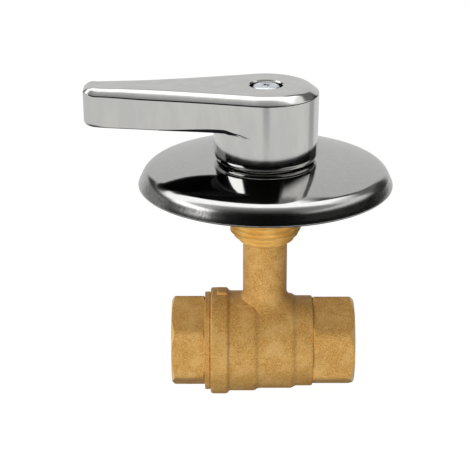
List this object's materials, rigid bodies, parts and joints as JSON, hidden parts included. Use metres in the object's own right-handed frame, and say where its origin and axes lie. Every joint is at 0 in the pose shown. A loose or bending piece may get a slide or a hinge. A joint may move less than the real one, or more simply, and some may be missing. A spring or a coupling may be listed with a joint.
{
  "type": "concealed stop valve",
  "caption": "Wall-built quarter-turn ball valve in forged brass, with a long neck, a round chromed wall rosette and a chromed lever that turns the ball.",
  "frame": {"origin": "where the pipe's axis crosses the stem's axis, at the ball's centre", "axes": "+X along the pipe towards the body's own threaded end, +Z along the stem towards the handle; the open lever points along -X"},
  "size_m": [0.0965, 0.08, 0.1038],
  "materials": {
    "forged_brass": "shot-blasted forging, with turned ends and collar",
    "turned_brass": "turned, bare",
    "chrome_plate": "bright chrome plate, mirror polished",
    "chromed_ball": "chromed and lapped",
    "zinc_plated_steel": "bright zinc plate",
    "white_ptfe": "turned PTFE, matt white",
    "black_rubber": "moulded nitrile rubber",
    "pale_acetal": "moulded acetal"
  },
  "bodies": {
    "root": {"valve_body": "forged_brass", "end_adapter": "forged_brass", "joint_o_ring": "black_rubber", "inlet_seat": "white_ptfe", "outlet_seat": "white_ptfe", "stem_washer_lower": "white_ptfe", "stem_washer_upper": "white_ptfe", "gland_nut": "turned_brass", "rosette": "chrome_plate", "rosette_nut": "turned_brass", "rosette_washer": "pale_acetal"},
    "turning_set": {"ball": "chromed_ball", "stem": "turned_brass", "stem_o_ring_lower": "black_rubber", "stem_o_ring_upper": "black_rubber", "stop_plate": "zinc_plated_steel", "stem_bush": "pale_acetal", "handle": "chrome_plate", "lock_washer": "zinc_plated_steel", "handle_screw": "zinc_plated_steel"}
  },
  "joints": [
    {"name": "handle_turn", "type": "hinge", "parent": "root", "child": "turning_set", "pos_m": [0, 0, 0], "axis": [0, 0, 1], "range_deg": [-90, 0]}
  ]
}
